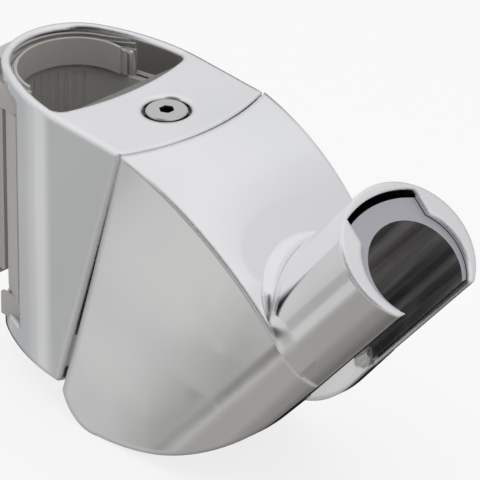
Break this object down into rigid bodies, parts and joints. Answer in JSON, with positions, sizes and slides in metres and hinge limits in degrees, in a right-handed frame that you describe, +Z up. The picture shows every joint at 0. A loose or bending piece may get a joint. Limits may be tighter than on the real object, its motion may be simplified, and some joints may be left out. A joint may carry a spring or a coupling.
{
  "type": "shower rail slider",
  "caption": "Chrome slider for a round shower rail, with a squeeze release at the rear and a tilted slotted cradle for a hand shower's cone.",
  "frame": {"origin": "on the rail's axis, at the middle of the slider body's height", "axes": "+Z up the rail, -Y forward towards the handset cradle, +X to the side; the part is symmetric about X = 0"},
  "size_m": [0.0412, 0.1371, 0.0833],
  "materials": {
    "chrome_casting": "mirror chrome plate on a die casting",
    "pale_acetal": "light grey moulded plastic, fine satin",
    "dark_moulding": "dark grey moulded plastic, satin",
    "steel_hardware": "stainless steel, machined",
    "brass_insert": "turned brass",
    "seat_plastic": "grey glossy moulded plastic",
    "grip_plastic": "light moulded plastic with ribs",
    "brake_rubber": "black rubber"
  },
  "bodies": {
    "slider": {"slider_body": "chrome_casting", "upper_guide_ring": "pale_acetal", "lower_guide_ring": "pale_acetal", "inner_carrier": "dark_moulding", "top_screw": "steel_hardware", "screw_washer": "steel_hardware", "screw_insert": "brass_insert", "hinge_pins": "steel_hardware", "hinge_washers": "steel_hardware", "brake_springs": "steel_hardware"},
    "holder": {"holder_shell": "chrome_casting", "cradle_seat": "seat_plastic", "seat_retainer": "pale_acetal", "holder_bracket": "dark_moulding", "bracket_screws": "steel_hardware"},
    "release": {"release_yoke": "pale_acetal", "grip_pad": "grip_plastic", "brake_shoe": "pale_acetal", "brake_lining": "brake_rubber", "yoke_pins": "steel_hardware"}
  },
  "joints": [
    {"name": "holder_rock", "type": "hinge", "parent": "slider", "child": "holder", "pos_m": [0, -0.0335, 0.026], "axis": [-1, 0, 0], "range_deg": [0, 2]},
    {"name": "release_press", "type": "slide", "parent": "slider", "child": "release", "axis": [0, -1, 0], "range_m": [0, 0.0015], "stiffness_N_per_m": 3000, "springref_m": -0.002, "deforming": ["brake_springs"]}
  ],
  "couplings": [
    {"joint": "release_press", "follows": "holder_rock", "m_per_rad": 0.0425}
  ]
}
